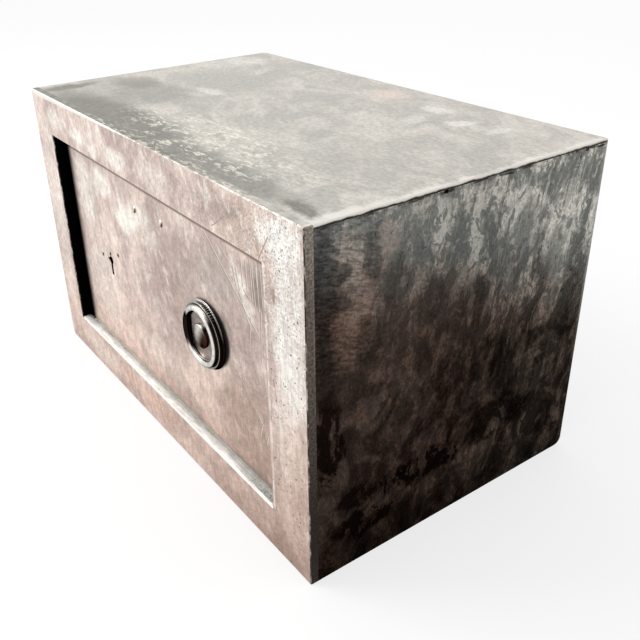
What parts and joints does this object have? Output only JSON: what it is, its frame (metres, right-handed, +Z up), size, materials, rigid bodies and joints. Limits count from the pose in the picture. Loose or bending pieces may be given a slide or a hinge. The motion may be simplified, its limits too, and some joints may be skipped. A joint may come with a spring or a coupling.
{
  "type": "strongbox",
  "caption": "Small free-standing steel strongbox with a recessed plate door, a round knob that throws round bolts through a rack and pinion, and a key lock.",
  "frame": {"origin": "centre of the underside, on the surface the box stands on", "axes": "+X to the right seen from the front, along the width; +Y from the door to the back; +Z up"},
  "size_m": [0.4, 0.24, 0.242],
  "materials": {
    "frame_steel": "bare mild steel, wire-brushed and scratched, pale with a pinkish cast",
    "door_steel": "bare mild steel plate, cloudy and scratched",
    "shell_steel": "bare sheet steel with dark blotches of heat scale",
    "inner_steel": "dark bare steel angle, lightly oxidised",
    "polished_steel": "turned and polished steel, tarnished in the grooves",
    "working_steel": "machined steel, oiled and rubbed bright where it slides",
    "case_steel": "dark filed steel",
    "screw_steel": "blued steel",
    "brass": "aged brass"
  },
  "bodies": {
    "box": {"frame_left_stile": "frame_steel", "frame_right_stile": "frame_steel", "frame_top_rail": "frame_steel", "frame_bottom_rail": "frame_steel", "top_plate": "shell_steel", "bottom_plate": "shell_steel", "left_side_plate": "shell_steel", "right_side_plate": "shell_steel", "back_plate": "shell_steel", "hinge_jamb": "inner_steel", "lock_jamb": "inner_steel", "head_jamb": "inner_steel", "sill_jamb": "inner_steel", "door_stop_side": "inner_steel", "door_stop_top": "inner_steel", "door_stop_bottom": "inner_steel", "stop_screws": "screw_steel", "upper_pivot_bush": "brass", "lower_pivot_bush": "brass", "pivot_washer": "working_steel"},
    "door": {"door_plate": "door_steel", "plate_rivets": "brass", "upper_pivot_pin": "working_steel", "lower_pivot_pin": "working_steel", "spindle_bush": "brass", "bolt_guide": "working_steel", "arm_strap_left": "working_steel", "arm_strap_right": "working_steel", "guide_screws": "screw_steel", "lock_floor": "case_steel", "lock_rim": "case_steel", "lock_cap": "case_steel", "lock_stump": "working_steel", "lock_ward": "brass", "lock_spring": "screw_steel", "case_screws": "screw_steel", "cap_screws": "screw_steel"},
    "knob_work": {"knob": "polished_steel", "knob_cap_nut": "polished_steel", "spindle": "working_steel", "pinion": "working_steel", "pinion_washer": "screw_steel", "pinion_nut": "screw_steel"},
    "boltwork": {"bolt_carriage": "working_steel", "lower_bolt": "working_steel", "middle_bolt": "working_steel", "upper_bolt": "working_steel", "bolt_screws": "screw_steel"},
    "key_bolt": {"lock_bolt": "working_steel"}
  },
  "joints": [
    {"name": "door_hinge", "type": "hinge", "parent": "box", "child": "door", "pos_m": [-0.15293, -0.1085, 0.1215], "axis": [0, 0, -1], "range_deg": [0, 110]},
    {"name": "knob_turn", "type": "hinge", "parent": "door", "child": "knob_work", "pos_m": [0.0726, -0.1125, 0.1212], "axis": [0, 1, 0], "range_deg": [0, 90]},
    {"name": "carriage_slide", "type": "slide", "parent": "door", "child": "boltwork", "axis": [1, 0, 0], "range_m": [0, 0.01885]},
    {"name": "key_bolt_slide", "type": "slide", "parent": "door", "child": "key_bolt", "axis": [0, 0, 1], "range_m": [0, 0.007]}
  ],
  "couplings": [
    {"joint": "knob_turn", "follows": "carriage_slide", "rad_per_m": 83.333}
  ]
}
